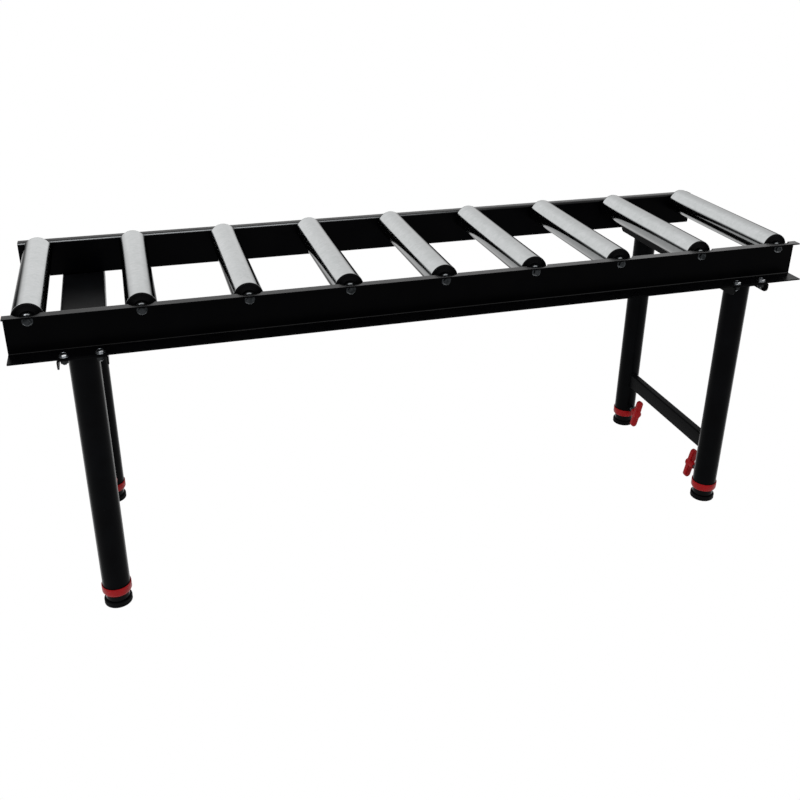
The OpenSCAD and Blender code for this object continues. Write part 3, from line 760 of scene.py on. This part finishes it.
# Around the top of each leg, the end of its stretcher and its weld nut, a little off each joint
seams = []
for _, leg_x, leg_y, side in LEGS:
    seams.append([(leg_x + x, leg_y + y, LEG_TOP_Z - 1.0) for x, y, _ in circle(LEG_R + 0.9, 0, 64)])
    seams.append([(leg_x + 1.06 * x, side * (saddle(x) - 0.6), STRETCHER_MID + 1.03 * (z - STRETCHER_MID))
                  for x, z in box_outline()])
    seams.append([(leg_x + x, side * (saddle(x) - 0.5), STUD_Z + z) for _, x, z in hexagon(18.0, 48)])
beads = grown("leg_weld_beads", seam_mesh(seams), WELDS, {"Bead Radius": BEAD_R * MM,
                                                         "Ripple Spacing": RIPPLE * MM,
                                                         "Finish": leg_paint, "Seed": 11})
piece("leg_weld_beads", beads, "frame")


# Legs

def knob_shape():
    """Two-winged clamp knob, drawn along +Z from the leg's axis, its wings along X.

    Its solids are fused and smoothed, which gives it the soft fillets of a moulding.
    """
    bm = bmesh.new()
    turned([(0, KNOB_IN), (7.4, KNOB_IN), (8.2, KNOB_IN + 0.8), (9.0, BAR_IN), (KNOB_BOSS_R, BAR_OUT),
            (9.6, KNOB_OUT - 1.0), (8.2, KNOB_OUT), (0, KNOB_OUT)], 64, joined=False, bm=bm)
    mid, half = (BAR_IN + BAR_OUT) / 2, (BAR_OUT - BAR_IN) / 2
    slices, corners, squareness = 32, 24, 0.35
    straight = KNOB_HALF_SPAN - KNOB_END_R
    rings = []
    for k in range(-slices, slices + 1):
        x = KNOB_HALF_SPAN * math.sin(math.radians(90 * k / slices))
        past = max(0.0, abs(x) - straight) / KNOB_END_R
        waist = WING_WAIST - (WING_WAIST - WING_TIP) * min(1.0, abs(x) / straight)
        wide = math.sqrt(max(0.0, 1 - past ** 2)) * waist
        tall = half * (1 - 0.12 * past ** 2)
        ring = []
        for m in range(corners):
            t = 2 * math.pi * m / corners
            c, d = math.cos(t), math.sin(t)
            ring.append((x, wide * math.copysign(abs(c) ** squareness, c),
                         mid + tall * math.copysign(abs(d) ** squareness, d)))
        rings.append(ring)
    skin(bm, rings)
    rough = bpy.data.objects.new("knob_rough", as_mesh("knob_rough", bm, red_plastic))
    bpy.context.scene.collection.objects.link(rough)
    fuse = rough.modifiers.new("fuse", "REMESH")
    fuse.mode, fuse.voxel_size, fuse.use_smooth_shade = "VOXEL", 0.8 * MM, True
    soften = rough.modifiers.new("soften", "SMOOTH")
    soften.factor, soften.iterations = 0.5, 3
    evaluated = rough.evaluated_get(bpy.context.evaluated_depsgraph_get())
    mesh = bpy.data.meshes.new_from_object(evaluated)
    bpy.data.objects.remove(rough)
    return mesh


def fluted_foot(place):
    """Round plastic foot with fine grip flutes round its side and a plug up into the inner tube.

    Each row is a radius, a height and whether the flutes are cut there, in two points of every five.
    """
    steps = 240
    rings = []
    for r, z, cut in ((27.0, 0.0, 0), (28.0, 0.3, 0), (28.7, 1.0, 0), (FOOT_R, 2.0, 0),
                      (FOOT_R, 2.6, 1), (FOOT_R, 10.4, 1), (FOOT_R, 11.0, 0), (28.7, 12.0, 0),
                      (28.0, 12.7, 0), (27.0, FOOT_H, 0), (22.95, FOOT_H, 0), (22.95, 34.6, 0),
                      (22.6, 35.0, 0), (19.95, 35.0, 0), (19.95, 0.0, 0)):
        radii = [r - cut * FLUTE_DEPTH * (k % 5 in (0, 1)) for k in range(steps)]
        rings.append([(r * x, r * y, z) for r, (x, y, _) in zip(radii, circle(1, 0, steps))])
    bm = bmesh.new()
    skin(bm, rings, place, joined=True)
    return bm


OUTER_TUBE_OUTLINE = [(26.3, LEG_FOOT_Z), (28.2, LEG_FOOT_Z), (LEG_R, LEG_FOOT_Z + 0.3),
                      (LEG_R, LEG_TOP_Z), (LEG_BORE_R, LEG_TOP_Z), (LEG_BORE_R, LEG_FOOT_Z + 0.3)]
COLLAR_OUTLINE = [(25.35, COLLAR_LOW), (28.4, COLLAR_LOW), (29.1, 30.3), (30.4, 32.9),
                  (COLLAR_R, 33.8), (COLLAR_R, 45.2), (30.5, 45.4), (30.5, 45.9), (COLLAR_R, 46.1),
                  (COLLAR_R, 48.5), (30.5, 48.85), (30.1, COLLAR_HIGH), (29.6, COLLAR_HIGH),
                  (29.3, 48.8), (28.55, 47.9), (28.55, LEG_FOOT_Z), (25.35, LEG_FOOT_Z)]
INNER_TUBE_OUTLINE = [(INNER_BORE_R, FOOT_H), (INNER_R, FOOT_H), (INNER_R, INNER_TOP_Z - 0.3),
                      (24.7, INNER_TOP_Z), (23.3, INNER_TOP_Z), (INNER_BORE_R, INNER_TOP_Z - 0.3)]
knob_mesh = knob_shape()
for corner, leg_x, leg_y, side in LEGS:
    here = at(leg_x, leg_y, 0)
    solid(f"{corner}_outer_tube", turned(OUTER_TUBE_OUTLINE, 128, here), leg_paint, "frame",
          f"{corner}_leg_tube")
    solid(f"{corner}_guide_collar", turned(COLLAR_OUTLINE, 128, here), red_plastic, "frame",
          f"{corner}_collar")
    solid(f"{corner}_sliding_tube", turned(INNER_TUBE_OUTLINE, 128, here), inner_paint,
          f"{corner}_leg", f"{corner}_inner_leg")
    solid(f"{corner}_ribbed_foot", fluted_foot(here), foot_plastic, f"{corner}_leg",
          f"{corner}_foot")
    # The knob faces the leg opposite, and the upper end of its wings leans to +X
    lean = Matrix.Rotation(math.radians(90 - side * KNOB_TILT), 4, "Z")
    clamp = at(leg_x, leg_y, STUD_Z, outward(-side) @ lean)
    wings = knob_mesh.copy()
    wings.name = f"{corner}_wing_knob"
    wings.transform(Matrix.Scale(MM, 4) @ clamp @ Matrix.Scale(1 / MM, 4))
    piece(f"{corner}_wing_knob", wings, f"{corner}_clamp", [f"{corner}_clamp_knob"])
    bm = bmesh.new()
    threaded(bm, clamp, STUD_IN, STUD_OUT, STUD_R, 1.5)
    solid(f"{corner}_clamp_stud", bm, stud_zinc, f"{corner}_clamp",
          f"{corner}_clamp_knob")


# Studio: pale floor, two large soft lamps and the photograph's camera

def seen_directly(tree):
    """1 for the camera and for rays that metal or gloss sends on, 0 for light on the object."""
    path = add(tree, "ShaderNodeLightPath")
    first = add(tree, "ShaderNodeMath", {0: path.outputs["Is Camera Ray"],
                                         1: path.outputs["Is Glossy Ray"]}, operation="MAXIMUM")
    return add(tree, "ShaderNodeMath", {0: first.outputs["Value"],
                                        1: path.outputs["Is Transmission Ray"]},
               operation="MAXIMUM").outputs["Value"]


def build_studio():
    """White world, pale paper floor and two lamps at a plain level."""
    world = bpy.data.worlds.new("white_studio")
    world.use_nodes = True
    bpy.context.scene.world = world
    sky = world.node_tree
    level = add(sky, "ShaderNodeMapRange", {"Value": seen_directly(sky), "To Min": 0.45,
                                            "To Max": 1.0})
    glow = sky.nodes["Background"]
    glow.inputs["Color"].default_value = grey(1)
    sky.links.new(level.outputs["Result"], glow.inputs["Strength"])

    paper = bpy.data.materials.new("white_paper_floor")
    paper.use_nodes = True
    tree = paper.node_tree
    tree.nodes.clear()
    lit = add(tree, "ShaderNodeBsdfDiffuse", {"Color": linear("#e6e6e6")})
    shaded = add(tree, "ShaderNodeBsdfDiffuse", {"Color": linear("#9c9c9c")})
    white = add(tree, "ShaderNodeEmission", {"Color": grey(1), "Strength": 0.86})
    clean = add(tree, "ShaderNodeAddShader", {0: shaded.outputs["BSDF"], 1: white.outputs["Emission"]})
    both = add(tree, "ShaderNodeMixShader", {"Fac": seen_directly(tree), 1: lit.outputs["BSDF"],
                                             2: clean.outputs["Shader"]})
    # The camera looks through the floor at the white world, so no shadow shows, as the legs slide
    # down past it and the photograph shows no floor either; it still blocks and returns light
    from_camera = add(tree, "ShaderNodeLightPath").outputs["Is Camera Ray"]
    clear = add(tree, "ShaderNodeBsdfTransparent")
    unseen = add(tree, "ShaderNodeMixShader", {"Fac": from_camera, 1: both.outputs["Shader"],
                                               2: clear.outputs["BSDF"]})
    add(tree, "ShaderNodeOutputMaterial", {"Surface": unseen.outputs["Shader"]})
    bm = bmesh.new()
    bmesh.ops.create_grid(bm, x_segments=2, y_segments=2, size=45)
    floor = bpy.data.objects.new("paper_floor", as_mesh("paper_floor", bm, paper))
    bpy.context.scene.collection.objects.link(floor)

    # Name, place and width in metres, and power in watts; both lamps aim at the table
    aim = Vector((0, 0, 0.4))
    for name, spot, size, power in (("overhead_softbox", (-0.2, -0.4, 3.9), 2.4, 50),
                                    ("front_softbox", (-2.6, -2.8, 2.6), 1.8, 40)):
        lamp = bpy.data.lights.new(name, "AREA")
        lamp.shape, lamp.size, lamp.energy = "SQUARE", size, power
        box = bpy.data.objects.new(name, lamp)
        box.location = spot
        box.rotation_euler = (aim - Vector(spot)).to_track_quat("-Z", "Y").to_euler()
        bpy.context.scene.collection.objects.link(box)


def set_camera():
    """The photograph's camera: 24.5 degrees down, 17.8 to the right."""
    lens = bpy.data.cameras.new("camera")
    lens.sensor_width, lens.lens = SENSOR_MM, LENS_MM
    lens.shift_x, lens.shift_y = SHIFT_X, SHIFT_Y
    lens.clip_end = 200.0
    camera = bpy.data.objects.new("camera", lens)
    bpy.context.scene.collection.objects.link(camera)
    camera.matrix_world = (Matrix.Translation(CAMERA_AT)
                           @ Matrix.Rotation(-CAMERA_TO_RIGHT, 4, "Z")
                           @ Matrix.Rotation(math.pi / 2 - CAMERA_DOWN, 4, "X")
                           @ Matrix.Rotation(CAMERA_ROLL, 4, "Z"))
    bpy.context.scene.camera = camera


build_studio()
set_camera()
bpy.context.scene.view_settings.view_transform = "Standard"
